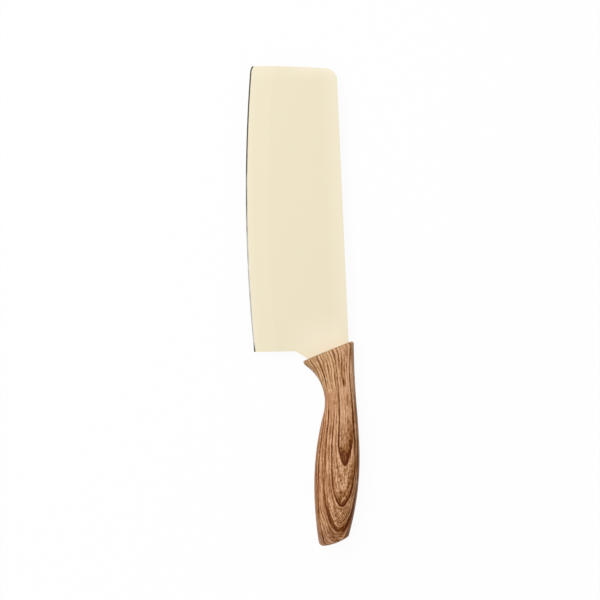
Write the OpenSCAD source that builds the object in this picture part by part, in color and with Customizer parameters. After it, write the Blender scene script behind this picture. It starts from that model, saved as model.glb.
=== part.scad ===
// Kitchen cleaver: a coated, flat ground steel blade with a hidden tang,
// held between the two halves of a moulded grip.

/* [Blade] */
// Length from the heel to the tip
blade_len = 178; // [150:1:204]
// Width from the spine to the edge where the blade is widest
blade_w = 60.7; // [52:0.1:76]
// Thickness of the steel
blade_t = 1.8; // [1.4:0.1:3]
// Radius of the long curve of the cutting edge
edge_r = 1000; // [700:10:3000]
// Distance from the heel to the widest place
widest_x = 58; // [40:1:100]
// How far the spine corner of the tip lies behind the edge corner
tip_rake = 4.2; // [1:0.1:10]
// How far the end of the tip bulges past a straight line
tip_crown = 0.6; // [0.2:0.1:2]
// Radius of the tip corner at the spine
tip_spine_r = 7.4; // [2:0.1:14]
// Radius of the curve in which the cutting edge turns up at the tip
tip_turn_r = 9; // [9:0.5:20]
// Length of that curve
tip_turn_len = 4; // [2:0.5:5]
// How far the heel leans back from square at its upper end
heel_lean = 0.6; // [0:0.1:3]
// Distance from the spine to where the heel turns into the neck
heel_depth = 33.2; // [30:0.1:38]
// Radius of the turn from heel to neck
neck_r = 5; // [1:0.5:8]
// Angle between the heel and the neck, in degrees
neck_angle = 34; // [28:1:40]

/* [Grind and coating] */
// Width of the flat grind above the edge
grind_w = 14; // [6:0.5:30]
// Thickness of the steel just behind the sharpened bevel
edge_t = 0.5; // [0.3:0.05:0.9]
// Width of the sharpened bevel, which is bare steel
bevel_w = 0.9; // [0.5:0.1:1.5]
// Width of the very edge
apex_t = 0.06; // [0.05:0.01:0.15]
// Thickness of the coating
coat_t = 0.1; // [0.08:0.01:0.2]

/* [Tang] */
// Distance from the heel to the end of the tang
tang_len = 86; // [75:1:95]
// Width of the tang where it leaves the neck
tang_root_w = 12; // [9:0.5:13]
// Width of the tang at its end
tang_end_w = 7.6; // [7:0.1:10]
// Drop from the spine to the tang's upper side at its root
tang_root_drop = 2.6; // [2:0.1:4]
// Drop from the spine to the tang's upper side at its end
tang_end_drop = 5.4; // [4:0.1:7]
// Distance from the heel to the place where the spine steps down to the tang
tang_root_x = 22; // [18:0.5:26]
// Radius of the tang's corners
tang_r = 2; // [0.5:0.1:3]
// Distance from the heel to the first hole in the tang
first_peg_x = 44; // [38:1:50]
// Distance between the two holes in the tang
peg_pitch = 28; // [20:1:32]

/* [Grip outline] */
// How far the grip's front face stands ahead of the heel on the spine line
front_lead = 3.2; // [2:0.1:6]
// Slant of the front face, in degrees
front_slant = 19.7; // [14:0.1:24]
// Rise of the grip's back above the spine at its hollow
hollow_rise = 3; // [2.5:0.1:3.5]
// Distance from the heel to that hollow
hollow_x = 16; // [8:1:20]
// Rise of the grip's back above the spine at its highest
hump_rise = 4; // [3.7:0.1:6]
// Distance from the heel to that highest place
hump_x = 61; // [45:1:70]
// Depth of the grip's underside below the spine line at the waist
waist_depth = 16.3; // [16:0.1:19]
// Distance from the heel to the waist
waist_x = 32; // [30:0.5:35]
// Radius of the underside at the waist
waist_r = 27.5; // [25:0.5:29.5]
// Depth of the grip's underside below the spine line at the belly
belly_depth = 25.4; // [24:0.1:30]
// Distance from the heel to the belly
belly_x = 93; // [80:0.1:105]
// Distance from the heel to the butt's corner at the back
butt_back_x = 117.4; // [110:0.1:130]
// Depth of that corner below the spine line
butt_back_depth = 5.2; // [2:0.1:7]
// Distance from the heel to the butt's corner at the underside
butt_belly_x = 123.7; // [116:0.1:137]
// Depth of that corner below the spine line
butt_belly_depth = 23.6; // [20:0.1:24.8]
// How far the end of the butt bulges past a straight line
butt_crown = 0.8; // [0.4:0.1:3]

/* [Grip section] */
// Thickness of the grip at its front
front_t = 18; // [15:0.1:22]
// Thickness of the grip at the waist
waist_t = 16.4; // [14:0.1:20]
// Thickness of the grip at the belly
belly_t = 21; // [18:0.1:26]
// Thickness of the grip at the butt
butt_t = 17.5; // [14:0.1:20]
// How square the section is: 2 is an ellipse
squareness = 2.7; // [2.2:0.1:4]
// Radius of the front face's rim
front_rim_r = 1.3; // [0.8:0.1:2.4]
// Radius of the butt's rim at the back and the sides
butt_rim_r = 1.3; // [0.8:0.1:2.4]
// Radius of the butt's rim at the underside
butt_belly_r = 3; // [1.5:0.1:4]

/* [Grip inside] */
// Thickness of the grip's walls
wall = 2.4; // [1.8:0.1:3]
// Length of the solid throat that grips the neck
throat_len = 13; // [10:0.5:18]
// Thickness of the solid end at the butt
butt_wall = 4; // [3:0.5:8]
// Number of ribs between the throat and the butt
rib_count = 6; // [3:1:8]
// Thickness of a rib
rib_t = 1.4; // [1:0.1:2]
// Gap round the edges of the tang
tang_gap = 0.2; // [0.1:0.05:0.4]
// Thickness of the adhesive round the neck
glue_t = 0.3; // [0.2:0.05:0.5]
// Radius of the pegs that lock the tang
peg_r = 2; // [1.5:0.1:2.4]
// Gap round a peg in the tang and in its socket
peg_gap = 0.1; // [0.05:0.05:0.2]
// How far a peg reaches into its socket
peg_reach = 4.5; // [3:0.5:6]
// Wall round a socket
boss_wall = 1.5; // [1:0.1:2]
// Distance from the outline to the seam's tongue
tongue_in = 0.9; // [0.7:0.1:1.1]
// Width of the tongue
tongue_w = 0.7; // [0.5:0.1:0.8]
// Height of the tongue
tongue_h = 0.9; // [0.5:0.1:1.2]
// Gap round the tongue in its groove
tongue_gap = 0.1; // [0.05:0.01:0.15]

/* [Hidden] */

cream = [0.93, 0.89, 0.77];
steel_grey = [0.62, 0.63, 0.64];
wood_tan = [0.72, 0.52, 0.35];
glue_amber = [0.80, 0.70, 0.45];

overrun = 1;                // cuts run this far past what they cut
throat_gap = coat_t;        // the coating stops this far short of the grip
slab_margin = 10 * overrun; // the ground slab reaches this far past the outline
strip_from = -0.7;          // shares of the tip's turn between which the coating is cut back
strip_to = 0.8;
spine_share = 1 / 3;        // the spine runs straight this share of the way to the tang's root

corner_steps = 8;
edge_steps = 60;
tip_steps = 12;
rim_shares = [0, 0.06, 0.2, 0.42, 0.7, 1];
body_rings = 34;
section_steps = 18;
slab_sides = 720;           // sides in a full turn of the ground slab
hole_sides = 48;            // sides in a full turn of a hole or a peg
cavity_rings = 22;
cavity_steps = 10;

// Small tools for outlines

function lerp(a, b, s) = a + (b - a) * s;

function dir(angle) = [cos(angle), sin(angle)];

function arc(c, r, from, to, steps) = [for (i = [0:steps]) c + r * dir(lerp(from, to, i / steps))];

function heading(v) = atan2(v.y, v.x);

// Where two circles meet: the meeting point on the left of the line from a to b
function circles_meet(a, ra, b, rb) =
    let (d = norm(b - a), along = (ra * ra - rb * rb + d * d) / (2 * d),
         off = sqrt(ra * ra - along * along), u = (b - a) / d)
    a + along * u + off * [-u.y, u.x];

// One corner of an outline, rounded to radius r
function rounded_corner(before, p, after, r) =
    let (u = (before - p) / norm(before - p), v = (after - p) / norm(after - p),
         half = acos(u * v) / 2, mid = (u + v) / norm(u + v), c = p + mid * r / sin(half),
         from = p + u * r / tan(half) - c, to = p + v * r / tan(half) - c,
         a0 = heading(from), turn = heading(to) - a0,
         a1 = a0 + (turn > 180 ? turn - 360 : turn < -180 ? turn + 360 : turn))
    arc(c, r, a0, a1, corner_steps);

// Blade

edge_centre = [widest_x, blade_w - edge_r];

function edge_depth(x) = edge_centre.y + sqrt(pow(edge_r, 2) - pow(x - widest_x, 2));

tip_low = [blade_len - tip_rake, 0];
tip_high = [blade_len, edge_depth(blade_len)];
tip_chord = norm(tip_high - tip_low);
tip_r = (pow(tip_chord / 2, 2) + pow(tip_crown, 2)) / (2 * tip_crown);
tip_across = (tip_high - tip_low) / tip_chord;
tip_centre = (tip_low + tip_high) / 2 - (tip_r - tip_crown) * [tip_across.y, -tip_across.x];

spine_corner = [
    tip_centre.x + sqrt(pow(tip_r - tip_spine_r, 2) - pow(tip_spine_r - tip_centre.y, 2)),
    tip_spine_r
];
turn_start = [blade_len - tip_turn_len, edge_depth(blade_len - tip_turn_len)];
turn_centre = lerp(turn_start, edge_centre, tip_turn_r / edge_r);
tip_corner = circles_meet(tip_centre, tip_r, turn_centre, tip_turn_r);

heel = [0, edge_depth(0)];
neck = [-heel_lean, heel_depth];
tang_root_low = tang_root_drop + tang_root_w;
neck_end = neck + (neck.y - tang_root_low) * [-tan(neck_angle), -1];
tang_top = [-tang_root_x, tang_root_drop];
tang_end_top = [-tang_len, tang_end_drop];
tang_end_low = [-tang_len, tang_end_drop + tang_end_w];
spine_end = [-tang_root_x * spine_share, 0];

// Round the turn at the tip, from the corner at 0 to the start of the turn at 1
function turn_point(s, r) =
    turn_centre + r * dir(lerp(heading(tip_corner - turn_centre), heading(turn_start - turn_centre), s));

function tang_middle(x) = lerp(tang_root_drop + tang_root_w / 2, tang_end_drop + tang_end_w / 2,
                               (x - tang_root_x) / (tang_len - tang_root_x));

blade_outline = concat(
    arc(spine_corner, tip_spine_r, -90, heading(spine_corner - tip_centre), corner_steps),
    arc(tip_centre, tip_r, heading(spine_corner - tip_centre),
        heading(tip_corner - tip_centre), tip_steps),
    [for (i = [1:corner_steps - 1]) turn_point(i / corner_steps, tip_turn_r)],
    arc(edge_centre, edge_r, heading(turn_start - edge_centre),
        heading(heel - edge_centre), edge_steps),
    rounded_corner(heel, neck, neck_end, neck_r),
    rounded_corner(neck, neck_end, tang_end_low, tang_r),
    rounded_corner(neck_end, tang_end_low, tang_end_top, tang_r),
    rounded_corner(tang_end_low, tang_end_top, tang_top, tang_r),
    rounded_corner(tang_end_top, tang_top, spine_end, tang_r),
    [spine_end]
);

peg_x = [first_peg_x, first_peg_x + peg_pitch];

// The ground slab: flat sides, then the flat grind, then the bevel, swept round the edge's curve
module ground_slab(skin, bare) {
    inner = edge_r - 2 * blade_w;
    slope = (edge_t - apex_t) / 2 / bevel_w;
    past = bare ? apex_t / 2 / slope / 2 : 0;
    side = bare
        ? [[edge_r - bevel_w, edge_t / 2], [edge_r + past, apex_t / 2 - slope * past]]
        : [[edge_r - bevel_w, edge_t / 2 + skin]];
    upper = concat([[inner, blade_t / 2 + skin], [edge_r - grind_w, blade_t / 2 + skin]], side);
    lower = [for (i = [len(upper) - 1:-1:0]) [upper[i].x, -upper[i].y]];
    sweep = asin((max(blade_len - widest_x, widest_x + tang_len) + slab_margin) / inner);
    translate(edge_centre)
        rotate(90 - sweep)
            rotate_extrude(angle = 2 * sweep, $fn = slab_sides)
                polygon(concat(upper, lower));
}

module blade_shape() {
    intersection() {
        ground_slab(0, true);
        linear_extrude(height = blade_t + 2 * overrun, center = true)
            polygon(blade_outline);
    }
}

module peg_holes(r) {
    for (x = peg_x)
        translate([-x, tang_middle(x), 0])
            cylinder(r = r, h = blade_t + 2 * overrun, center = true, $fn = hole_sides);
}

module blade() {
    color(steel_grey)
        place()
            difference() {
                blade_shape();
                peg_holes(peg_r + peg_gap);
            }
}

// Everything behind the grip's front face, moved ahead by lead
module behind_front(lead) {
    far = blade_len + butt_belly_x;
    translate([front_lead + lead / cos(front_slant), 0])
        rotate(front_slant)
            translate([-far, -far / 2])
                square([far, far]);
}

// The bare strip along the turn at the tip, running on past the tip's end
module turn_strip() {
    shares = [for (i = [0:corner_steps]) lerp(strip_from, strip_to, i / corner_steps)];
    polygon(concat(
        [for (s = shares) turn_point(s, tip_turn_r - bevel_w)],
        [for (i = [corner_steps:-1:0]) turn_point(shares[i], tip_turn_r + overrun)]
    ));
}

module blade_coating() {
    color(cream)
        place()
            difference() {
                intersection() {
                    ground_slab(coat_t, false);
                    linear_extrude(height = blade_t + 2 * overrun, center = true)
                        difference() {
                            offset(delta = coat_t)
                                polygon(blade_outline);
                            behind_front(throat_gap);
                            turn_strip();
                        }
                }
                blade_shape();
            }
}

// Grip outline: each side swings from a hollow to a hump in two arcs, then runs down to the butt

function arc_sum(low, high) =
    (pow(high.x - low.x, 2) + pow(high.y - low.y, 2)) / (2 * (high.y - low.y));

function end_r(high, end) = (pow(end.x - high.x, 2) + pow(high.y - end.y, 2)) / (2 * (high.y - end.y));

function side_line(x, low, high, end, low_r) =
    let (total = arc_sum(low, high), high_r = total - low_r,
         join = lerp(low.x, high.x, low_r / total), tail_r = end_r(high, end))
    x > join ? low.y + low_r - sqrt(pow(low_r, 2) - pow(x - low.x, 2))
    : x > high.x ? high.y - high_r + sqrt(pow(high_r, 2) - pow(x - high.x, 2))
    : high.y - tail_r + sqrt(pow(tail_r, 2) - pow(x - high.x, 2));

back_low = [-hollow_x, hollow_rise];
back_high = [-hump_x, hump_rise];
back_end = [-butt_back_x, -butt_back_depth];
belly_low = [-waist_x, waist_depth];
belly_high = [-belly_x, belly_depth];
belly_end = [-butt_belly_x, butt_belly_depth];

function back_y(x) = -side_line(x, back_low, back_high, back_end, arc_sum(back_low, back_high) / 2);
function belly_y(x) = side_line(x, belly_low, belly_high, belly_end, waist_r);

// Where the front face meets the back and the underside
function front_face_x(y) = front_lead - y * tan(front_slant);
front_back_x = front_face_x(back_y(front_face_x(-hollow_rise)));
flare_offset = [front_lead, 0] - (belly_low + [0, waist_r]);
front_run = [-sin(front_slant), cos(front_slant)];
flare_run = -(flare_offset * front_run)
    - sqrt(pow(flare_offset * front_run, 2) - flare_offset * flare_offset + pow(waist_r, 2));
front_belly_x = front_lead - flare_run * sin(front_slant);

// Stations run from 0 at the front face to 1 at the butt
function back_point(t) = let (x = lerp(front_back_x, -butt_back_x, t)) [x, back_y(x)];
function belly_point(t) = let (x = lerp(front_belly_x, -butt_belly_x, t)) [x, belly_y(x)];
function middle_x(t) = (back_point(t).x + belly_point(t).x) / 2;

function ease(s) = (1 - cos(180 * s)) / 2;
function section_t(x) =
    x > -waist_x ? lerp(front_t, waist_t, ease((middle_x(0) - x) / (middle_x(0) + waist_x)))
    : x > -belly_x ? lerp(waist_t, belly_t, ease((-waist_x - x) / (belly_x - waist_x)))
    : lerp(belly_t, butt_t, ease((-belly_x - x) / (-middle_x(1) - belly_x)));

grip_len = (middle_x(0) - middle_x(1)) * cos(front_slant);

// How much a rim of radius r takes off a side that meets the end face at this angle
function rim_inset(d, r, angle) =
    d >= r * (1 + cos(angle)) ? 0 : r / tan(angle / 2) - sqrt(pow(r, 2) - pow(r - d, 2)) - d / tan(angle);

function angle_between(u, v) = acos(u * v / norm(u) / norm(v));

rim_step = 0.01;
front_back_angle = angle_between(belly_point(0) - back_point(0), back_point(rim_step) - back_point(0));
front_belly_angle = angle_between(back_point(0) - belly_point(0), belly_point(rim_step) - belly_point(0));
butt_back_angle = angle_between(belly_point(1) - back_point(1), back_point(1 - rim_step) - back_point(1));
butt_belly_angle = angle_between(back_point(1) - belly_point(1), belly_point(1 - rim_step) - belly_point(1));

front_rim_depth = front_rim_r * (1 + max(cos(front_back_angle), cos(front_belly_angle), 0));
butt_rim_depth = max(butt_rim_r, butt_belly_r) * (1 + max(cos(butt_back_angle), cos(butt_belly_angle), 0));

// The round of one section, from the back over the side to the underside
function section(t, steps, in_back, in_belly, in_side, crown) =
    let (pb = back_point(t), pf = belly_point(t), across = (pf - pb) / norm(pf - pb),
         a = pb + across * in_back, b = pf - across * in_belly,
         centre = (a + b) / 2, half_w = norm(b - a) / 2, half_t = section_t(middle_x(t)) / 2 - in_side,
         out = [-across.y, across.x])
    [for (i = [0:steps])
        let (c = cos(180 * i / steps), s = sin(180 * i / steps),
             u = -sign(c) * pow(abs(c), 2 / squareness), p = centre + across * half_w * u
                 + out * crown * (1 - u * u))
        [p.x, p.y, i == 0 || i == steps ? 0 : half_t * pow(s, 2 / squareness)]];

function front_ring(d) = section(d / grip_len, section_steps,
    rim_inset(d, front_rim_r, front_back_angle), rim_inset(d, front_rim_r, front_belly_angle),
    rim_inset(d, front_rim_r, 90), 0);

function butt_ring(d) = section(1 - d / grip_len, section_steps,
    rim_inset(d, butt_rim_r, butt_back_angle), rim_inset(d, butt_belly_r, butt_belly_angle),
    rim_inset(d, butt_rim_r, 90), butt_crown * max(0, 1 - d / butt_rim_depth / 2));

body_start = front_rim_depth / grip_len;
body_end = 1 - 2 * butt_rim_depth / grip_len;

grip_rings = concat(
    [for (s = rim_shares) front_ring(s * front_rim_depth)],
    [for (k = [1:body_rings]) section(lerp(body_start, body_end, k / body_rings), section_steps, 0, 0, 0, 0)],
    [for (k = [1:len(rim_shares) - 1]) butt_ring(butt_rim_depth * (2 - k / (len(rim_shares) - 1)))],
    [for (k = [len(rim_shares) - 2:-1:0]) butt_ring(rim_shares[k] * butt_rim_depth)]
);

grip_outline = concat(
    [for (ring = grip_rings) [ring[0].x, ring[0].y]],
    [for (p = grip_rings[len(grip_rings) - 1]) [p.x, p.y]],
    [for (k = [len(grip_rings) - 1:-1:0]) [grip_rings[k][section_steps].x, grip_rings[k][section_steps].y]]
);

// One half of the grip, solid, above the parting plane
module grip_half() {
    m = section_steps;
    last = len(grip_rings) - 1;
    points = concat(
        [for (ring = grip_rings) each ring],
        [for (i = [1:m - 1]) [grip_rings[last][i].x, grip_rings[last][i].y, 0]]
    );
    function at(k, i) = k * (m + 1) + i;
    function base(i) = i == 0 ? at(last, 0) : i == m ? at(last, m) : (last + 1) * (m + 1) + i - 1;
    faces = concat(
        [for (k = [0:last - 1], i = [0:m - 1]) each
            [[at(k, i), at(k + 1, i), at(k, i + 1)], [at(k, i + 1), at(k + 1, i), at(k + 1, i + 1)]]],
        [for (k = [0:last - 1]) each
            [[at(k, 0), at(k + 1, m), at(k + 1, 0)], [at(k, 0), at(k, m), at(k + 1, m)]]],
        [[for (i = [0:m]) at(0, i)]],
        [[at(last, 0), base(1), at(last, 1)]],
        [for (i = [1:m - 2]) [at(last, i), base(i), base(i + 1), at(last, i + 1)]],
        [[at(last, m - 1), base(m - 1), at(last, m)]],
        [[for (i = [0:m]) base(i)]]
    );
    polyhedron(points = points, faces = faces);
}

// The hollow inside one half, from the throat to the butt, running on past the parting plane
module cavity() {
    m = cavity_steps;
    from = throat_len / grip_len;
    to = 1 - butt_wall / grip_len;
    function sunk(p, i) = i == 0 || i == m ? [p.x, p.y, -overrun] : p;
    rings = [for (k = [0:cavity_rings])
        let (ring = section(lerp(from, to, k / cavity_rings), m, wall, wall, wall, 0))
        [for (i = [0:m]) sunk(ring[i], i)]];
    function at(k, i) = k * (m + 1) + i;
    polyhedron(
        points = [for (ring = rings) each ring],
        faces = concat(
            [for (k = [0:cavity_rings - 1], i = [0:m - 1]) each
                [[at(k, i), at(k + 1, i), at(k, i + 1)], [at(k, i + 1), at(k + 1, i), at(k + 1, i + 1)]]],
            [for (k = [0:cavity_rings - 1]) each
                [[at(k, 0), at(k + 1, m), at(k + 1, 0)], [at(k, 0), at(k, m), at(k + 1, m)]]],
            [[for (i = [0:m]) at(0, i)]],
            [[for (i = [m:-1:0]) at(cavity_rings, i)]]
        )
    );
}

// Cross ribs at even steps between the throat and the butt
module ribs() {
    span = grip_len - throat_len - butt_wall;
    for (k = [1:rib_count]) {
        t = (throat_len + span * k / (rib_count + 1)) / grip_len;
        a = back_point(t);
        b = belly_point(t);
        translate([a.x, a.y, -belly_t])
            rotate(heading(b - a))
                translate([-wall, -rib_t / 2, 0])
                    cube([norm(b - a) + 2 * wall, rib_t, 2 * belly_t]);
    }
}

module bosses() {
    for (x = peg_x)
        translate([-x, tang_middle(x), 0])
            cylinder(r = peg_r + peg_gap + boss_wall, h = 2 * belly_t, center = true, $fn = hole_sides);
}

// Room for the tang between the ribs, and for the glued neck in the throat
module tang_room() {
    linear_extrude(height = blade_t, center = true)
        offset(delta = tang_gap)
            polygon(blade_outline);
    linear_extrude(height = blade_t + 2 * glue_t, center = true)
        glued_neck(glue_t, overrun);
}

module glued_neck(skin, lead) {
    intersection() {
        offset(delta = skin)
            polygon(blade_outline);
        difference() {
            behind_front(lead);
            behind_front(-throat_len);
        }
    }
}

// The strip of the seam's tongue, behind the throat
module seam(gap) {
    intersection() {
        behind_front(-throat_len);
        difference() {
            offset(delta = gap - tongue_in)
                polygon(grip_outline);
            offset(delta = -gap - tongue_in - tongue_w)
                polygon(grip_outline);
        }
    }
}

module shell_body() {
    difference() {
        grip_half();
        difference() {
            cavity();
            ribs();
            bosses();
        }
        tang_room();
    }
}

module left_handle_shell() {
    color(wood_tan)
        place()
            difference() {
                shell_body();
                for (x = peg_x)
                    translate([-x, tang_middle(x), 0])
                        cylinder(r = peg_r + peg_gap, h = blade_t / 2 + peg_reach + peg_gap, $fn = hole_sides);
                linear_extrude(height = 2 * (tongue_h + tongue_gap), center = true)
                    seam(tongue_gap);
            }
}

module right_handle_shell() {
    color(wood_tan)
        place() {
            mirror([0, 0, 1])
                shell_body();
            for (x = peg_x)
                translate([-x, tang_middle(x), -blade_t / 2 - overrun])
                    cylinder(r = peg_r, h = blade_t + overrun + peg_reach, $fn = hole_sides);
            translate([0, 0, -overrun])
                linear_extrude(height = overrun + tongue_h)
                    seam(0);
        }
}

module tang_adhesive() {
    color(glue_amber)
        place()
            difference() {
                linear_extrude(height = blade_t + 2 * glue_t, center = true)
                    glued_neck(glue_t, 0);
                linear_extrude(height = blade_t, center = true)
                    polygon(blade_outline);
            }
}

// The knife lies on its side: the origin is under the middle of its box
outline_xs = concat([for (p = blade_outline) p.x], [for (ring = grip_rings, p = ring) p.x]);
outline_ys = concat([for (p = blade_outline) p.y], [for (ring = grip_rings, p = ring) p.y]);
grip_zs = [for (ring = grip_rings, p = ring) p.z];

module place() {
    translate([
        -(min(outline_xs) + max(outline_xs)) / 2,
        -(min(outline_ys) + max(outline_ys)) / 2,
        max(grip_zs)
    ])
        children();
}

blade();
blade_coating();
tang_adhesive();
left_handle_shell();
right_handle_shell();
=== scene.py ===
import math

import bmesh
import bpy
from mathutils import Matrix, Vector


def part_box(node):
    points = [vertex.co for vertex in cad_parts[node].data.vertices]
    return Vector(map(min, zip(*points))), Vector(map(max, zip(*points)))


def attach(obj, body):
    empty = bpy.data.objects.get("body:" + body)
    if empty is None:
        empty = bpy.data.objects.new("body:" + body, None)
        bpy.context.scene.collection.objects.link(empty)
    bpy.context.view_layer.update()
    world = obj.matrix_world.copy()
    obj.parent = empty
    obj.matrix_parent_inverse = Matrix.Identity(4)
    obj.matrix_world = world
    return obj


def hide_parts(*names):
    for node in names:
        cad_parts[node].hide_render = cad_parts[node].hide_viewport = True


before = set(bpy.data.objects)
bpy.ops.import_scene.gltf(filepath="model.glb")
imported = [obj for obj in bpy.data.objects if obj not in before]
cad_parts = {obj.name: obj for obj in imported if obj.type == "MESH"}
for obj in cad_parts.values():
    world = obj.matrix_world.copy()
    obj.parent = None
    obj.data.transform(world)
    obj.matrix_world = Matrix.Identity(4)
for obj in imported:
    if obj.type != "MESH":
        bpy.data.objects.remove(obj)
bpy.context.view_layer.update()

# Camera
# The cleaver lies flat and is seen straight from above through a long lens. The tip points up
# the picture and leans to the left, as in the photograph.
mm = 0.001
picture_px = 600
px_size = 0.6236 * mm           # how much of the object one pixel of the photograph shows
heel_px = Vector((348.658, 347.732))    # where the heel's level crosses the spine, in pixels
lean = math.radians(2.513)
camera_height = 3.2             # in metres, above the blade's middle plane
view_depth = 20                 # in metres
sensor_w = 36                   # in millimetres, as is the lens's length
tang_len = 86 * mm

# Places on the cleaver are given from the point where the heel's level crosses the spine, on the
# blade's middle plane.
blade_low, blade_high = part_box("blade")
heel = Vector((blade_low.x + tang_len, blade_low.y, (blade_low.z + blade_high.z) / 2))
up_the_knife = Vector((-math.sin(lean), math.cos(lean)))     # +X of the object, in the picture
to_the_edge = Vector((-math.cos(lean), -math.sin(lean)))     # +Y of the object, in the picture
middle = Vector((picture_px / 2 - heel_px.x, heel_px.y - picture_px / 2)) * px_size
aim = heel + Vector((middle.dot(up_the_knife), middle.dot(to_the_edge), 0))


def linked(name, data):
    """A new object in the scene."""
    made = bpy.data.objects.new(name, data)
    bpy.context.scene.collection.objects.link(made)
    return made


lens = bpy.data.cameras.new("long_lens")
lens.sensor_width = sensor_w
lens.lens = sensor_w * camera_height / (picture_px * px_size)
lens.clip_end = view_depth
camera = linked("camera", lens)
camera.location = aim + Vector((0, 0, camera_height))
camera.rotation_euler = (0, 0, -math.pi / 2 - lean)
bpy.context.scene.camera = camera

# Studio
# A plain white table under a soft, even light: a pale dome, and one broad lamp that stands high
# on the edge's side, towards the tip. The table keeps a faint shadow.
white = (1, 1, 1)
dome_strength = 0.42
lamp_strength = 20.0
lamp_size = 1.6
lamp_place = Vector((0.35, 0.5, 1.6))   # from the middle of the picture, in metres
table_half = 3.0
table_shadow = 0.06             # how much of the light and shade on the table shows
table_white = (0.97, 0.97, 0.97)
table_bounce = (0.55, 0.55, 0.55)       # the table's colour to the rays that light the cleaver


class Signal:
    """A value in a material. Python's operators on it add the Math nodes."""

    def __init__(self, finish, socket):
        self.finish = finish
        self.socket = socket

    def output(self, key):
        """Another output of the node that gives this value."""
        return Signal(self.finish, self.socket.node.outputs[key])

    def math(self, operation, *others):
        return self.finish.math(operation, self, *others)

    def __add__(self, other):
        return self.math("ADD", other)

    def __radd__(self, other):
        return self.math("ADD", other)

    def __sub__(self, other):
        return self.math("SUBTRACT", other)

    def __rsub__(self, other):
        return self.finish.math("SUBTRACT", other, self)

    def __mul__(self, other):
        return self.math("MULTIPLY", other)

    def __rmul__(self, other):
        return self.math("MULTIPLY", other)

    def __truediv__(self, other):
        return self.math("DIVIDE", other)

    def __rtruediv__(self, other):
        return self.finish.math("DIVIDE", other, self)

    def __pow__(self, other):
        return self.math("POWER", other)

    def __rpow__(self, other):
        return self.finish.math("POWER", other, self)

    def __abs__(self):
        return self.math("ABSOLUTE")

    def root(self):
        return self.math("SQRT")

    def over(self, floor):
        return self.math("MAXIMUM", floor)

    def under(self, ceiling):
        return self.math("MINIMUM", ceiling)

    def waves(self, top):
        """Runs evenly up to top and back to 0, again and again."""
        return self.math("PINGPONG", top)

    def rise(self, low, high, start=0.0, end=1.0):
        """0 below low, 1 above high, and a smooth rise between them."""
        settings = {"interpolation_type": "SMOOTHSTEP"}
        return self.finish.add("ShaderNodeMapRange", settings, self, low, high, start, end)

    def fall(self, low, high):
        """1 below low, 0 above high, and a smooth fall between them."""
        return self.rise(low, high, 1.0, 0.0)

    def band(self, low, full, fade, high):
        """Rises from low to full, and falls from fade to high."""
        return self.rise(low, full) * self.fall(fade, high)


class Finish:
    """A material, or the world, whose nodes are added from Python expressions."""

    def __init__(self, owner):
        owner.use_nodes = True
        self.owner = owner
        self.tree = owner.node_tree
        self.tree.nodes.clear()

    def add(self, kind, settings, *values, out=0, **named):
        """Adds a node: its settings first, then the values or links of its sockets."""
        node = self.tree.nodes.new(kind)
        for name, setting in settings.items():
            if name == "stops":
                self.set_stops(node.color_ramp, setting)
            else:
                setattr(node, name, setting)
        for key, value in list(enumerate(values)) + list(named.items()):
            if isinstance(key, str):
                key = key.replace("_", " ")
            if isinstance(value, Signal):
                self.tree.links.new(value.socket, node.inputs[key])
            elif value is not None:
                node.inputs[key].default_value = value
        return Signal(self, node.outputs[out]) if node.outputs else None

    def set_stops(self, ramp, stops):
        while len(ramp.elements) < len(stops):
            ramp.elements.new(0.5)
        for element, (place, colour) in zip(ramp.elements, stops):
            element.position = place
            element.color = (*colour, 1)

    def math(self, operation, *values):
        return self.add("ShaderNodeMath", {"operation": operation}, *values)

    def vector(self, operation, *values, out=0):
        return self.add("ShaderNodeVectorMath", {"operation": operation}, *values, out=out)

    def mix(self, share, a, b):
        """A colour between a and b."""
        ends = [colour if isinstance(colour, Signal) else (*colour, 1) for colour in (a, b)]
        before_colours = [None] * 5     # the sockets that mix numbers and vectors
        return self.add("ShaderNodeMix", {"data_type": "RGBA"}, share, *before_colours, *ends, out=2)

    def place(self):
        """Where a point of the surface is, in metres."""
        return self.add("ShaderNodeTexCoord", {}, out="Object")

    def noise(self, place, scale, detail, rough=0.5):
        """Soft noise around 0.5, with scale ripples to one unit of place."""
        sockets = {"Scale": scale, "Detail": detail, "Roughness": rough}
        return self.add("ShaderNodeTexNoise", {}, Vector=place, **sockets)

    def bump(self, height, strength, depth):
        return self.add("ShaderNodeBump", {}, Strength=strength, Distance=depth, Height=height)

    def surface(self, shader):
        in_world = isinstance(self.owner, bpy.types.World)
        kind = "ShaderNodeOutputWorld" if in_world else "ShaderNodeOutputMaterial"
        self.add(kind, {}, Surface=shader)

    def principled(self, **sockets):
        self.surface(self.add("ShaderNodeBsdfPrincipled", {}, **sockets))


def shown_rays(finish):
    """1 on the rays that show the background, plainly or in gloss, and 0 on those of light."""
    to_camera = finish.add("ShaderNodeLightPath", {}, out="Is Camera Ray")
    mirrored = to_camera.output("Is Glossy Ray")
    through = to_camera.output("Is Transmission Ray")
    return (to_camera + mirrored + through).under(1.0)


def finished(bm, name):
    mesh = bpy.data.meshes.new(name)
    bm.to_mesh(mesh)
    bm.free()
    return mesh


world = bpy.data.worlds.new("studio")
bpy.context.scene.world = world
bpy.context.scene.view_settings.view_transform = "Standard"
dome = Finish(world)
light_level = shown_rays(dome) * (1.0 - dome_strength) + dome_strength
dome.surface(dome.add("ShaderNodeBackground", {}, Color=(*white, 1), Strength=light_level))

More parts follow.
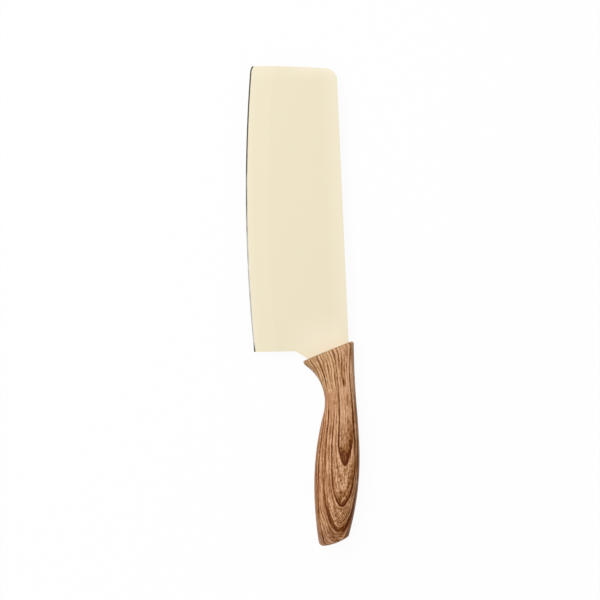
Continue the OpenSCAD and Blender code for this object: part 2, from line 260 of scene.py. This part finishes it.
bm = bmesh.new()
bmesh.ops.create_grid(bm, x_segments=1, y_segments=1, size=table_half)
table = linked("table", finished(bm, "table"))
paper = Finish(bpy.data.materials.new("white_table"))
shown = shown_rays(paper)
lit = paper.add("ShaderNodeBsdfDiffuse", {}, Color=paper.mix(shown, table_bounce, table_white))
glow = paper.add("ShaderNodeEmission", {}, Color=(*white, 1), Strength=1.0)
paper.surface(paper.add("ShaderNodeMixShader", {}, shown * (1.0 - table_shadow), lit, glow))
table.data.materials.append(paper.owner)

broad_light = bpy.data.lights.new("broad_lamp", "AREA")
broad_light.shape = "DISK"
broad_light.size = lamp_size
broad_light.energy = lamp_strength
lamp = linked("broad_lamp", broad_light)
lamp.location = aim + lamp_place
lamp.rotation_euler = (aim - lamp.location).to_track_quat("-Z", "Y").to_euler()

# Blade
# One blank of ground stainless steel with a hidden tang. The coating leaves only the tang and the
# sharpened bevel bare. A painted dark reflection lies in the bevel's colour at the very edge, with a
# painted highlight line behind it.
edge_r = 1000 * mm
widest_x = 58 * mm
blade_w = 60.7 * mm
edge_centre = heel + Vector((widest_x, blade_w - edge_r, 0))
bevel_w = 0.9 * mm
scratch_pitch = (9000, 250, 250)        # ripples to the metre: fine along the knife, long across it
scratch_depth = 0.02 * mm


def srgb(red, green, blue):
    """The colour that shows as these 8-bit screen values."""
    def linear(value):
        share = value / 255
        return share / 12.92 if share <= 0.04045 else ((share + 0.055) / 1.055) ** 2.4
    return linear(red), linear(green), linear(blue)


bright_steel = srgb(205, 204, 198)
# the colour of the painted dark reflection along the bevel's edge
painted_reflection_dark = srgb(38, 34, 29)
scratched_steel = srgb(160, 160, 155)


def behind_edge(finish, place):
    """How many millimetres a point lies behind the curve of the cutting edge."""
    spread = finish.vector("SUBTRACT", place, edge_centre)
    flat = finish.vector("MULTIPLY", spread, (1, 1, 0))
    return (edge_r - finish.vector("LENGTH", flat, out="Value")) / mm


def dress(node, finish):
    """Gives a solid of the frame its finish."""
    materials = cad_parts[node].data.materials
    materials.clear()
    materials.append(finish.owner)


steel = Finish(bpy.data.materials.new("ground_steel"))
place = steel.place()
back = behind_edge(steel, place)
behind_tip = (blade_high.x - steel.add("ShaderNodeSeparateXYZ", {}, place, out="X")) / mm
wander = steel.noise(place, 90.0, 2.0)
scratches = steel.noise(steel.vector("MULTIPLY", place, scratch_pitch), 1.0, 3.0)
# The painted dark reflection of the edge fades on its way from the tip, and is full again at the heel.
# painted highlight: a bright line just behind the edge's painted dark reflection
painted_highlight_line = back.rise(0.7, 0.95) * behind_tip.rise(4.0, 7.0) * 0.3
dark = 1.05 - behind_tip.rise(40.0, 130.0) * 0.36 - (wander - 0.5) * 0.5 - painted_highlight_line
dark = dark.over(behind_tip.rise(166.0, 177.0))
tone = steel.mix(dark, bright_steel, painted_reflection_dark)
tone = steel.mix((scratches - 0.4).over(0.0) * 0.5, tone, scratched_steel)
steel.principled(
    Base_Color=tone, Metallic=1.0, Roughness=0.32 + scratches * 0.2,
    Normal=steel.bump(scratches, 0.25, scratch_depth))
dress("blade", steel)

# Coating
# The release coating is a thin satin film, sprayed on both sides and baked. It is cream, a shade
# lighter along its borders, with a very fine orange-peel skin. Before the grip its colour carries
# painted light, which lifts the shadow that the grip casts on it.
cream = srgb(234, 222.5, 191.5)
pale_cream = srgb(246, 235, 209)
peel_depth = 0.02 * mm
rim_w = 0.2 * mm
coating_weld = 1e-7

satin = Finish(bpy.data.materials.new("cream_coating"))
place = satin.place()
mottle = satin.noise(place, 22.0, 3.0) - 0.5
orange_peel = satin.noise(place, 1600.0, 2.0)
along = satin.add("ShaderNodeSeparateXYZ", {}, place, out="X")
from_tip = (blade_high.x - along) / mm
from_grip = (along - heel.x) / mm
from_spine = (along.output("Y") - blade_low.y) / mm
at_tip = from_tip.fall(0.0, 12.0) * (0.9 - from_spine.rise(14.0, 34.0) * 0.45)
# painted light: the coating is lightened before the grip, where the grip's shadow falls on it
painted_light_before_grip = from_grip.fall(3.0, 27.0) * from_spine.band(2.0, 9.0, 16.0, 46.0) * 0.62
at_edge = behind_edge(satin, place).fall(bevel_w / mm, 6.0) * 0.22
at_spine = from_spine.fall(1.0, 12.0) * 0.44
lighter_border_and_painted_light = at_edge.over(at_tip) + painted_light_before_grip + at_spine
satin.principled(
    Base_Color=satin.mix((lighter_border_and_painted_light + mottle * 0.3).over(0.0), cream, pale_cream),
    Roughness=0.42 + mottle * 0.1, Normal=satin.bump(orange_peel, 0.08, peel_depth))

bm = bmesh.new()
bm.from_mesh(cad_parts["blade_coating"].data)
bmesh.ops.remove_doubles(bm, verts=bm.verts, dist=coating_weld)
film_top = max(vert.co.z for vert in bm.verts) - heel.z


def on_grind(edge):
    """Whether a face beside the edge slopes, as those over the flat grind do."""
    return any(1e-3 < abs(face.normal.z) < 0.9999999 for face in edge.link_faces)


def on_rim(edge):
    """Whether the edge parts a flat side of the blade from a face that stands upright."""
    on_side = all(abs(abs(vert.co.z - heel.z) - film_top) < 1e-6 for vert in edge.verts)
    return on_side and any(abs(face.normal.z) < 0.5 for face in edge.link_faces)


bmesh.ops.dissolve_limit(
    bm, angle_limit=math.radians(0.1), verts=[],
    edges=[edge for edge in bm.edges if not on_grind(edge)])
bmesh.ops.bevel(
    bm, geom=[edge for edge in bm.edges if on_rim(edge)], offset=rim_w, offset_type="OFFSET",
    segments=3, profile=0.5, affect="EDGES", material=-1, clamp_overlap=True)
for face in bm.faces:
    face.smooth = 0.05 < abs(face.normal.z) < 0.98      # the rounded rims
coating = linked("cream_coating", finished(bm, "cream_coating"))
coating.data.materials.append(satin.owner)
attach(coating, "root")
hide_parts("blade_coating")

# Adhesive
# The bed of cured resin round the neck. It fills the throat of the grip, and shows only as a
# hairline between the steel and the grip's front face.
resin_dark = srgb(150, 110, 70)
resin_light = srgb(176, 136, 92)

resin = Finish(bpy.data.materials.new("cured_adhesive"))
cloud = resin.noise(resin.place(), 300.0, 2.0)
resin.principled(
    Base_Color=resin.mix(cloud, resin_dark, resin_light), Roughness=0.35 + cloud * 0.2)
dress("tang_adhesive", resin)

# Grip
# Two halves moulded in brown plastic, joined along a fine seam on the blade's middle plane. Each
# is a lofted shell that swings from a flared front over a waist to a full belly, and is covered
# with a printed wood film under satin lacquer.
front_lead = 3.2 * mm           # how far the front face runs ahead of the heel at the spine
front_slant = math.radians(19.7)
hollow = Vector((-16, 3)) * mm          # the back's lowest and highest points and its end, with
hump = Vector((-61, 4)) * mm            # heights away from the edge
back_end = Vector((-117.4, -5.2)) * mm
waist = Vector((-32, 16.3)) * mm        # the same of the other side, with heights towards the edge
belly = Vector((-93, 25.4)) * mm
belly_end = Vector((-123.7, 23.6)) * mm
waist_r = 27.5 * mm
front_t = 18 * mm
waist_t = 16.4 * mm
belly_t = 21 * mm
butt_t = 17.5 * mm
squareness = 2.7
front_rim_r = 1.3 * mm
butt_rim_r = 1.3 * mm
butt_belly_r = 3 * mm
butt_crown = 0.8 * mm
wall = 2.4 * mm
throat_len = 13 * mm
butt_wall = 4 * mm
seam_rim = 0.12 * mm
grip_weld = 0.5e-6
film_len = 130 * mm
film_shift = 9 * mm             # how far the right half's film is shifted along the grip


def lerp(a, b, share):
    return a + (b - a) * share


def side_line(x, low, high, end, low_r):
    """Height of a side of the grip, which is a hollow and a hump in two touching arcs, then one
    arc to the butt."""
    rise = high.y - low.y
    total = ((high.x - low.x) ** 2 + rise ** 2) / (2 * rise)
    if x > lerp(low.x, high.x, low_r / total):
        return low.y + low_r - math.sqrt(low_r ** 2 - (x - low.x) ** 2)
    high_r = total - low_r
    if x <= high.x:
        high_r = ((end.x - high.x) ** 2 + (high.y - end.y) ** 2) / (2 * (high.y - end.y))
    return high.y - high_r + math.sqrt(high_r ** 2 - (x - high.x) ** 2)


# The back's hollow and hump share one radius.
hollow_r = ((hump.x - hollow.x) ** 2 + (hump.y - hollow.y) ** 2) / (4 * (hump.y - hollow.y))


def back_y(x):
    return -side_line(x, hollow, hump, back_end, hollow_r)


def belly_y(x):
    return side_line(x, waist, belly, belly_end, waist_r)


def front_face_x(y):
    return front_lead - y * math.tan(front_slant)


# The slanted front face meets the back, and the arc of the flare on the belly's side.
front_back_x = front_face_x(back_y(front_face_x(-hollow.y)))
from_waist = Vector((front_lead, 0)) - waist - Vector((0, waist_r))
along_front = Vector((-math.sin(front_slant), math.cos(front_slant)))
run = -from_waist.dot(along_front)
flare = run - math.sqrt(run ** 2 - from_waist.length_squared + waist_r ** 2)
front_belly_x = front_lead - flare * math.sin(front_slant)


def back_point(t):
    """The back, t running from 0 at the front face to 1 at the butt."""
    x = lerp(front_back_x, back_end.x, t)
    return Vector((x, back_y(x)))


def belly_point(t):
    x = lerp(front_belly_x, belly_end.x, t)
    return Vector((x, belly_y(x)))


def middle_x(t):
    return (back_point(t).x + belly_point(t).x) / 2


grip_len = (middle_x(0) - middle_x(1)) * math.cos(front_slant)


def ease(share):
    return (1 - math.cos(math.pi * share)) / 2


def thickness(x):
    if x > waist.x:
        return lerp(front_t, waist_t, ease((middle_x(0) - x) / (middle_x(0) - waist.x)))
    if x > belly.x:
        return lerp(waist_t, belly_t, ease((waist.x - x) / (waist.x - belly.x)))
    return lerp(belly_t, butt_t, ease((belly.x - x) / (belly.x - middle_x(1))))


def unit_section(turn):
    """A point of the superellipse that shapes every section, scaled to 1: turn runs from 0 at the
    back over the side to 1 at the belly."""
    c, s = math.cos(math.pi * turn), math.sin(math.pi * turn)
    return -math.copysign(abs(c) ** (2 / squareness), c), max(s, 0) ** (2 / squareness)


def section_point(t, turn, insets=(0, 0, 0), crown=0):
    """A point of the section at t. The insets are the back's, the belly's and the side's."""
    back, front = back_point(t), belly_point(t)
    across = (front - back).normalized()
    a = back + across * insets[0]
    b = front - across * insets[1]
    half_w = (b - a).length / 2
    half_t = thickness(middle_x(t)) / 2 - insets[2]
    u, v = unit_section(turn)
    out = Vector((-across.y, across.x))
    flat = (a + b) / 2 + across * half_w * u + out * crown * (1 - u * u)
    return Vector((flat.x, flat.y, half_t * v if 0 < turn < 1 else 0))


def rim_inset(depth, radius, angle):
    """How much a rounded rim takes off a side, this deep behind the end face."""
    if depth >= radius * (1 + math.cos(angle)):
        return 0
    reach = math.sqrt(max(radius ** 2 - (radius - depth) ** 2, 0))
    return radius / math.tan(angle / 2) - reach - depth / math.tan(angle)


rim_rows = 8
face_rows = 8
body_rows = 84
cavity_rows = 40
round_steps = 44
end_step = 0.01                 # a step into the grip, to find how its sides meet an end


class End:
    """One end of the grip, with the rims that round it off."""

    def __init__(self, t, back_r, belly_r, crown):
        self.t, self.crown = t, crown
        self.rims = (
            (back_r, self.angle(back_point, belly_point)),
            (belly_r, self.angle(belly_point, back_point)),
            (back_r, math.pi / 2),
        )
        self.depth = max(r for r, a in self.rims) * (1 + max(math.cos(a) for r, a in self.rims))

    def angle(self, side_point, other_point):
        """The angle between the end face and a side."""
        corner = side_point(self.t)
        along_side = side_point(abs(self.t - end_step)) - corner
        return (other_point(self.t) - corner).angle(along_side)

    def ring(self, depth):
        """The section this deep behind the end face."""
        t = abs(self.t - depth / grip_len)
        insets = [rim_inset(depth, r, a) for r, a in self.rims]
        crown = self.crown * max(0, 1 - depth / self.depth / 2)
        return lambda turn: section_point(t, turn, insets, crown)

    def rim_rings(self):
        """Sections from the face inwards, close together where the rim turns fastest."""
        turns = [math.pi / 2 * k / rim_rows for k in range(rim_rows + 1)]
        return [self.ring(self.depth * (1 - math.cos(turn))) for turn in turns]


def plain_rings(start, end, rows, inset=0):
    """Sections between two shares of the grip's length, this much inside its skin."""
    def ring(t):
        return lambda turn: section_point(t, turn, (inset,) * 3)
    return [ring(lerp(start, end, k / rows)) for k in range(rows + 1)]


front_end = End(0, front_rim_r, front_rim_r, 0)
butt_end = End(1, butt_rim_r, butt_belly_r, butt_crown)
body_from = front_end.depth / grip_len
body_to = 1 - 2 * butt_end.depth / grip_len
grip_rings = front_end.rim_rings() + plain_rings(body_from, body_to, body_rows)[1:]
grip_rings += [butt_end.ring(butt_end.depth * (2 - k / rim_rows)) for k in range(1, rim_rows)]
grip_rings += reversed(butt_end.rim_rings())
cavity_rings = plain_rings(throat_len / grip_len, 1 - butt_wall / grip_len, cavity_rows, wall)

# How far round the grip each step of a ring is, by length of surface: -1 at the back, 1 at the
# belly. The half width and half thickness are the grip's usual ones, in millimetres.
usual_half_w, usual_half_t = 14.3, 9.8
usual_ring = [unit_section(k / round_steps) for k in range(round_steps + 1)]
usual_ring = [Vector((u * usual_half_w, v * usual_half_t)) for u, v in usual_ring]
lengths = [0]
for near, far in zip(usual_ring, usual_ring[1:]):
    lengths.append(lengths[-1] + (far - near).length)
wrap_shares = [2 * length / lengths[-1] - 1 for length in lengths]


def sheet_over(bm, rings, side, material):
    """Lays a grid over a row of rings and down both end faces, above the seam or below it."""
    wrap = bm.verts.layers.float["wrap"]
    fold = bm.verts.layers.float["fold"]
    last = len(rings) - 1 + 2 * face_rows
    made = bmesh.ops.create_grid(bm, x_segments=last, y_segments=round_steps, size=0.5)["verts"]
    for vert in made:
        step = round((vert.co.y + 0.5) * round_steps)
        row = round((vert.co.x + 0.5) * last) - face_rows
        ring = min(max(row, 0), len(rings) - 1)
        place = rings[ring](step / round_steps)
        dropped = (row - ring) / face_rows
        vert[wrap] = wrap_shares[step]
        vert[fold] = dropped * place.z
        vert.co = heel + Vector((place.x, place.y, place.z * (1 - abs(dropped)) * side))
    for face in {face for vert in made for face in vert.link_faces}:
        face.material_index = material
    bmesh.ops.remove_doubles(bm, verts=made, dist=grip_weld)


def grip_half(name, side, pattern_shift, pattern_flip):
    """One half: its outside carries the film, its cavity and its seam are bare plastic."""
    bm = bmesh.new()
    wrap = bm.verts.layers.float.new("wrap")
    fold = bm.verts.layers.float.new("fold")
    uv = bm.loops.layers.uv.new("film")
    sheet_over(bm, grip_rings, side, 0)
    sheet_over(bm, cavity_rings, side, 1)
    for face in bm.faces:
        for loop in face.loops:
            behind = heel.x - loop.vert.co.x + loop.vert[fold]
            across = loop.vert[wrap] * pattern_flip
            loop[uv].uv = ((behind + pattern_shift) / film_len, (across + 1) / 2)
    seam = [edge for edge in bm.edges if edge.is_boundary]
    outer_rim = [edge for edge in seam if edge.link_faces[0].material_index == 0]
    land = bmesh.ops.triangle_fill(bm, edges=seam, use_beauty=True, normal=(0, 0, 1))["geom"]
    for part in land:
        if isinstance(part, bmesh.types.BMFace):
            part.material_index = 1
    bmesh.ops.recalc_face_normals(bm, faces=bm.faces)
    bmesh.ops.bevel(
        bm, geom=outer_rim, offset=seam_rim, offset_type="OFFSET", segments=2, profile=0.5,
        affect="EDGES", material=-1, clamp_overlap=True)
    for face in bm.faces:
        face.smooth = face.material_index == 0
    return linked(name, finished(bm, name))


grip_left = grip_half("grip_left", 1, 0, 1)
grip_right = grip_half("grip_right", -1, film_shift, -1)

# The film's figure is a flat-sawn board's: nested arches open to the blade, and long lines beside
# them to the flare. Places on it are in millimetres behind the heel, and across it from -1 at the
# back over the side to 1 at the belly.
wood_tones = (
    (0.00, srgb(86, 34, 2)),
    (0.24, srgb(122, 69, 18)),
    (0.36, srgb(140, 88, 42)),
    (0.59, srgb(173, 122, 82)),
    (0.77, srgb(199, 150, 110)),
    (1.00, srgb(230, 184, 145)),
)
rosy_tint = (1.01, 0.96, 0.95)
olive_tint = (0.985, 1.03, 1.0)
butt_tint = (0.95, 1.0, 1.2)
straw = srgb(222, 184, 140)
lacquer_depth = 0.05 * mm
face_half = 21.0                # half of the film's width round the belly, in millimetres

# Spots: behind, across, half length and half width in millimetres, and strength.
dark_knots = (
    (20.9, -0.21, 3.9, 1.8, 1.0),
    (15.0, -0.2, 7.0, 2.8, 0.45),
    (32.6, -0.335, 4.2, 1.2, 0.8),
    (45.0, -0.345, 2.8, 0.9, 0.6),
    (10.4, -0.41, 2.8, 0.7, 0.6),
)
brown_blots = (
    (93.5, -0.19, 5.5, 3.4, 0.4),
    (21.4, -0.21, 2.2, 1.3, 0.4),
)
pale_fields = (
    (17.0, 0.27, 12.0, 9.0, 1.0),
    (24.0, 0.55, 8.0, 2.8, 1.2),
    (3.0, -0.22, 5.0, 4.0, 0.6),
    (104.0, 0.62, 14.0, 1.8, 0.8),
)


def wood_film(name):
    wood = Finish(bpy.data.materials.new(name))
    film_uv = wood.add("ShaderNodeUVMap", {"uv_map": "film"})
    share_along = wood.add("ShaderNodeSeparateXYZ", {}, film_uv, out="X")
    behind = share_along * (film_len / mm)
    across = share_along.output("Y") * 2.0 - 1.0

    def noise(x, y, seed, detail=2.0, rough=0.5):
        place = wood.add("ShaderNodeCombineXYZ", {}, x, y, seed)
        return wood.noise(place, 1.0, detail, rough) - 0.5

    def stretched(along, over, seed, detail=2.0, rough=0.5):
        """Noise from about -0.3 to 0.3; along and over are ripples to the millimetre."""
        return noise(behind * along, across * (over * face_half), seed, detail, rough)

    # The grain leans towards the belly behind the front face, and comes back past the waist.
    late = behind - across * 8.0
    bend = late.band(4.0, 20.0, 24.0, 46.0) * (across * 0.1 + 0.1)
    bend = bend - behind.fall(-5.0, 15.0) * (0.1 + across.over(0.0) * 0.22)
    waver = stretched(0.045, 0.10, 1.3) * 0.06 + stretched(0.26, 0.5, 4.1) * 0.035
    place = across - bend + waver
    reach = behind + stretched(0.10, 0.22, 7.7) * 2.0
    back_limb = place.fall(-0.32, -0.12)
    at_front = behind.fall(20.0, 32.0)

    def arch(centre, half, tip, run, blunt=1.0):
        """Distance in millimetres outside an arch that opens to the blade, below 0 inside it."""
        side = abs(place - centre) / half
        down = (reach - (tip - run)).over(0.0) / run
        size = (side ** (2.0 * blunt) + down ** (2.0 * blunt)).over(0.001) ** (0.5 / blunt)
        slope = ((side / (half * face_half)) ** 2.0 + (down / run) ** 2.0).root() / size
        return (size - 1.0) / slope.over(0.004)

    def stroke(away, width):
        """A line of this half width along an arch, darkest in its middle."""
        return abs(away).fall(width * 0.35, width)

    def spot(at_behind, at_across, half_len, half_w):
        down = (behind - at_behind) / half_len
        side = (across + waver - at_across) * (face_half / half_w)
        return (side * side + down * down).fall(0.2, 1.2)

    def with_spots(value, spots):
        for *spread, strength in spots:
            value = value.over(spot(*spread) * strength)
        return value

    # The fibres run beside the arches, and the pores and patches along the grip.
    down = ((reach - 20.0).over(0.0) / 52.6) ** 2.1 * 0.17
    side = place + 0.2
    belt = (side * side + down * down).root() * face_half
    own_seed = side.math("SIGN") * 4.0
    fine = noise(belt, behind * 0.065, own_seed, 3.0, 0.6)
    broad = noise(belt * 0.38, behind * 0.03, own_seed + 9.0, 1.0)
    pores = stretched(0.40, 0.95, 21.0, 2.0, 0.65)
    patches = stretched(0.09, 0.16, 51.0, 1.0)
    flames = noise(behind * 0.34 + across * 4.5, across * 15.0 - behind * 0.12, 33.0, 2.0, 0.6)
    specks = stretched(0.62, 0.9, 61.0, 2.0, 0.6)
    specks = specks.rise(0.06, 0.16) - specks.fall(-0.16, -0.06) * 0.8
    vary = stretched(0.11, 0.3, 31.0)
    calm = spot(32.0, 0.34, 7.0, 8.0) * 0.8

    # Four arches lie in each other. The first has a plain heart and a dark, flamed end, and the
    # second is flamed inside.
    first = arch(behind.rise(50.0, 68.0) * 0.04 - 0.29, 0.255, tip=73.0, run=22.0, blunt=0.88)
    second = arch(-0.20, 0.39, tip=98.0, run=28.0)
    third = arch(behind.rise(95.0, 112.0) * -0.05 - 0.16, 0.565, tip=112.8, run=33.0, blunt=1.2)
    fourth = arch(-0.14, 0.76, tip=134.0, run=34.0)
    in_first = first.fall(-1.5, 0.0)
    first_end = in_first * reach.rise(47.0, 54.0)
    heart = in_first * behind.rise(20.0, 34.0) * reach.fall(46.0, 54.0)
    flamed = second.fall(-3.0, 0.5) * (reach.rise(64.0, 76.0) + first_end * 0.6).under(1.0)

    # Each arch is drawn by a thin dark line with a pale one beside it. Some lines fade, and some
    # thicken or double near their tips.
    slim = 0.8 + behind.rise(16.0, 44.0) * 0.1 + vary * 0.8
    wide = slim + 1.0
    near_third = slim + reach.rise(97.0, 107.0) * (0.9 + back_limb * 0.6)
    strength = 0.75 - behind.rise(8.0, 16.0) * 0.35 + behind.rise(34.0, 50.0) * 0.55 + vary
    faint = back_limb * behind.band(2.0, 12.0, 34.0, 42.0) * 0.5
    thinner = behind.band(54.0, 62.0, 78.0, 90.0) * (1.0 - back_limb) * 0.3
    thinner = thinner + behind.band(12.0, 18.0, 48.0, 53.0) * back_limb * 0.35
    flare_gap = spot(25.0, 0.54, 5.0, 3.0)
    lines = stroke(second, slim) * strength * (1.0 - faint)
    lines = lines.over(stroke(third, near_third) * (1.0 - calm) * (1.0 - flare_gap) * (1.0 - thinner))
    lines = lines.over(stroke(fourth, slim) * (0.6 + reach.rise(96.0, 108.0) * 0.4 + vary * 0.6))
    lines = (lines * (1.0 - calm * 0.8)).over(stroke(first, slim) * 0.95)
    halo = stroke(first, wide).over(stroke(second, wide)).over(stroke(fourth, wide))
    halo = (halo.over(stroke(third, near_third + 1.0) * 0.6) - lines).over(0.0)
    double = reach.rise(88.0, 97.0) * (0.6 - place.fall(-0.42, -0.3) * 0.5)
    lines = lines.over(stroke(first + 0.9, 1.9) * back_limb * behind.rise(51.0, 61.0) * 0.9)
    lines = lines.over(stroke(second - 2.0, 0.8) * double)
    lines = lines.over(stroke(third + 0.8, 2.2) * (0.35 + back_limb * 0.55) * reach.rise(104.0, 110.0))
    lines = with_spots(lines, dark_knots)
    blot = (reach.rise(61.0, 67.5) + reach.rise(53.0, 61.0) * 0.3).under(1.0) * first.fall(-0.6, 0.3)
    blot = blot.over(stroke(second + 0.9, 2.0) * reach.rise(89.5, 95.0) * 0.75)
    blot = blot.over(stroke(third + 0.5, 2.0) * reach.rise(105.0, 110.0) * 0.3)
    blot = with_spots(blot, brown_blots)

    # Rows of fibres stand between the lines: beside the arches, in a fan at the flare, inside the
    # first arch, and round the butt.
    rows = (belt + vary * 2.0 + waver * 8.0).waves(1.15).rise(0.5, 0.95)
    rows = rows * (1.1 + broad * 2.0) * (1.0 - heart) * (1.0 - at_front) * (1.0 - flamed)
    rows = rows * (1.0 - in_first * reach.rise(46.0, 54.0)) * (1.0 - reach.rise(96.0, 106.0) * 0.8)
    fan = (place * face_half + vary * 1.5 + 0.3).waves(1.0).rise(0.35, 0.8)
    fan = fan * (1.0 + stretched(0.07, 0.2, 71.0) * 2.5).over(0.0) * at_front
    rows = rows.over(fan * (1.7 - back_limb * 0.7)) * (1.0 - calm)
    past_third = third.rise(0.6, 2.0) * reach.rise(100.0, 110.0)
    arcs = (third + vary * 2.0).waves(0.85).rise(0.35, 0.8)
    arcs = arcs * second.rise(0.8, 2.0) * reach.rise(95.0, 101.0) * (0.8 + pores * 2.6).over(0.0)
    arcs = arcs * (1.0 - lines) * (1.0 - past_third * 0.4)
    arcs_in = (first + vary * 2.0).waves(0.8).rise(0.3, 0.7)

    # Broad fields are a little paler or darker.
    pale = with_spots(halo * 0.9, pale_fields)
    shade = stroke(second + 1.5, 5.0) * back_limb * behind.band(66.0, 78.0, 90.0, 97.0)
    dusk = place.fall(-0.85, -0.42) * (behind.rise(8.0, 40.0) * 0.10 + behind.rise(60.0, 84.0) * 0.14)
    dusk = dusk + reach.rise(88.0, 116.0) * 0.06 + calm * 0.14 + spot(9.0, 0.45, 6.0, 7.0) * 0.12
    dusk = dusk + back_limb * reach.rise(96.0, 104.0) * 0.07 - past_third * 0.018
    dusk = dusk + place.rise(0.5, 0.64) * behind.band(50.0, 60.0, 90.0, 98.0) * 0.06
    behind_waist = behind.rise(38.0, 62.0) * (1.0 - behind.rise(92.0, 104.0) * 0.8)
    dusk = dusk + place.rise(0.1, 0.45) * behind_waist * 0.05
    between = (second.rise(1.0, 2.5) - third.rise(-2.0, -0.5)).over(0.0) * reach.rise(88.0, 96.0)

    tone = 0.74 + fine * (1.4 - calm * 0.6 - heart * 0.1 - at_front * 0.6) + broad * 0.6
    tone = tone + pores * (0.8 + flamed * 0.5) + patches * 0.4
    tone = tone + flames * flamed * 1.3 + pale * 0.12 - dusk - shade * 0.2
    tone = tone - first_end * (arcs_in * 0.22 + 0.02)
    tone = tone - lines * 0.48 - (rows - 0.2 - at_front * 0.4) * 0.26 - arcs * 0.58 - blot * 0.48
    tone = tone - specks * (0.08 + flamed * 0.2 + between * 0.4)
    tone = tone - flamed * (0.07 + reach.rise(80.0, 88.0) * 0.05) - reach.rise(96.0, 104.0) * 0.05

    # The tones are rosy over the belly, olive at the flare and bluer at the butt. The film's front
    # border is paler: painted light that lifts the shade in the fold of the front rim.
    colour = wood.add("ShaderNodeValToRGB", {"stops": wood_tones}, tone)
    rosy = place.rise(-0.1, 0.15) * behind.band(22.0, 34.0, 96.0, 110.0)
    olive = place.rise(-0.3, 0.0) * behind.fall(18.0, 30.0)
    tint = wood.mix(rosy, white, rosy_tint)
    tint = wood.mix(olive, tint, olive_tint)
    tint = wood.mix(reach.rise(107.0, 115.0), tint, butt_tint)
    colour = wood.vector("MULTIPLY", colour, tint)
    # painted light: a straw fringe along the front rim, against the shade in its fold
    front_rim_painted_light = late.fall(1.5, 10.0) * 0.2 + late.fall(0.5, 3.0) * 0.15
    wood.principled(
        Base_Color=wood.mix(front_rim_painted_light, colour, straw), Roughness=0.46 - tone * 0.08,
        Specular_IOR_Level=0.1, Normal=wood.bump(tone, 0.12, lacquer_depth))
    return wood


# The plastic itself shows only along the seam.
plastic_dark = srgb(146, 104, 66)
plastic_light = srgb(160, 116, 76)

plastic = Finish(bpy.data.materials.new("moulded_plastic"))
flow = plastic.noise(plastic.place(), 120.0, 2.0)
plastic.principled(
    Base_Color=plastic.mix(flow, plastic_dark, plastic_light), Roughness=0.5 + flow * 0.1)
printed = wood_film("wood_film")
for piece, node in ((grip_left, "left_handle_shell"), (grip_right, "right_handle_shell")):
    piece.data.materials.append(printed.owner)
    piece.data.materials.append(plastic.owner)
    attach(piece, "root")
    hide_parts(node)
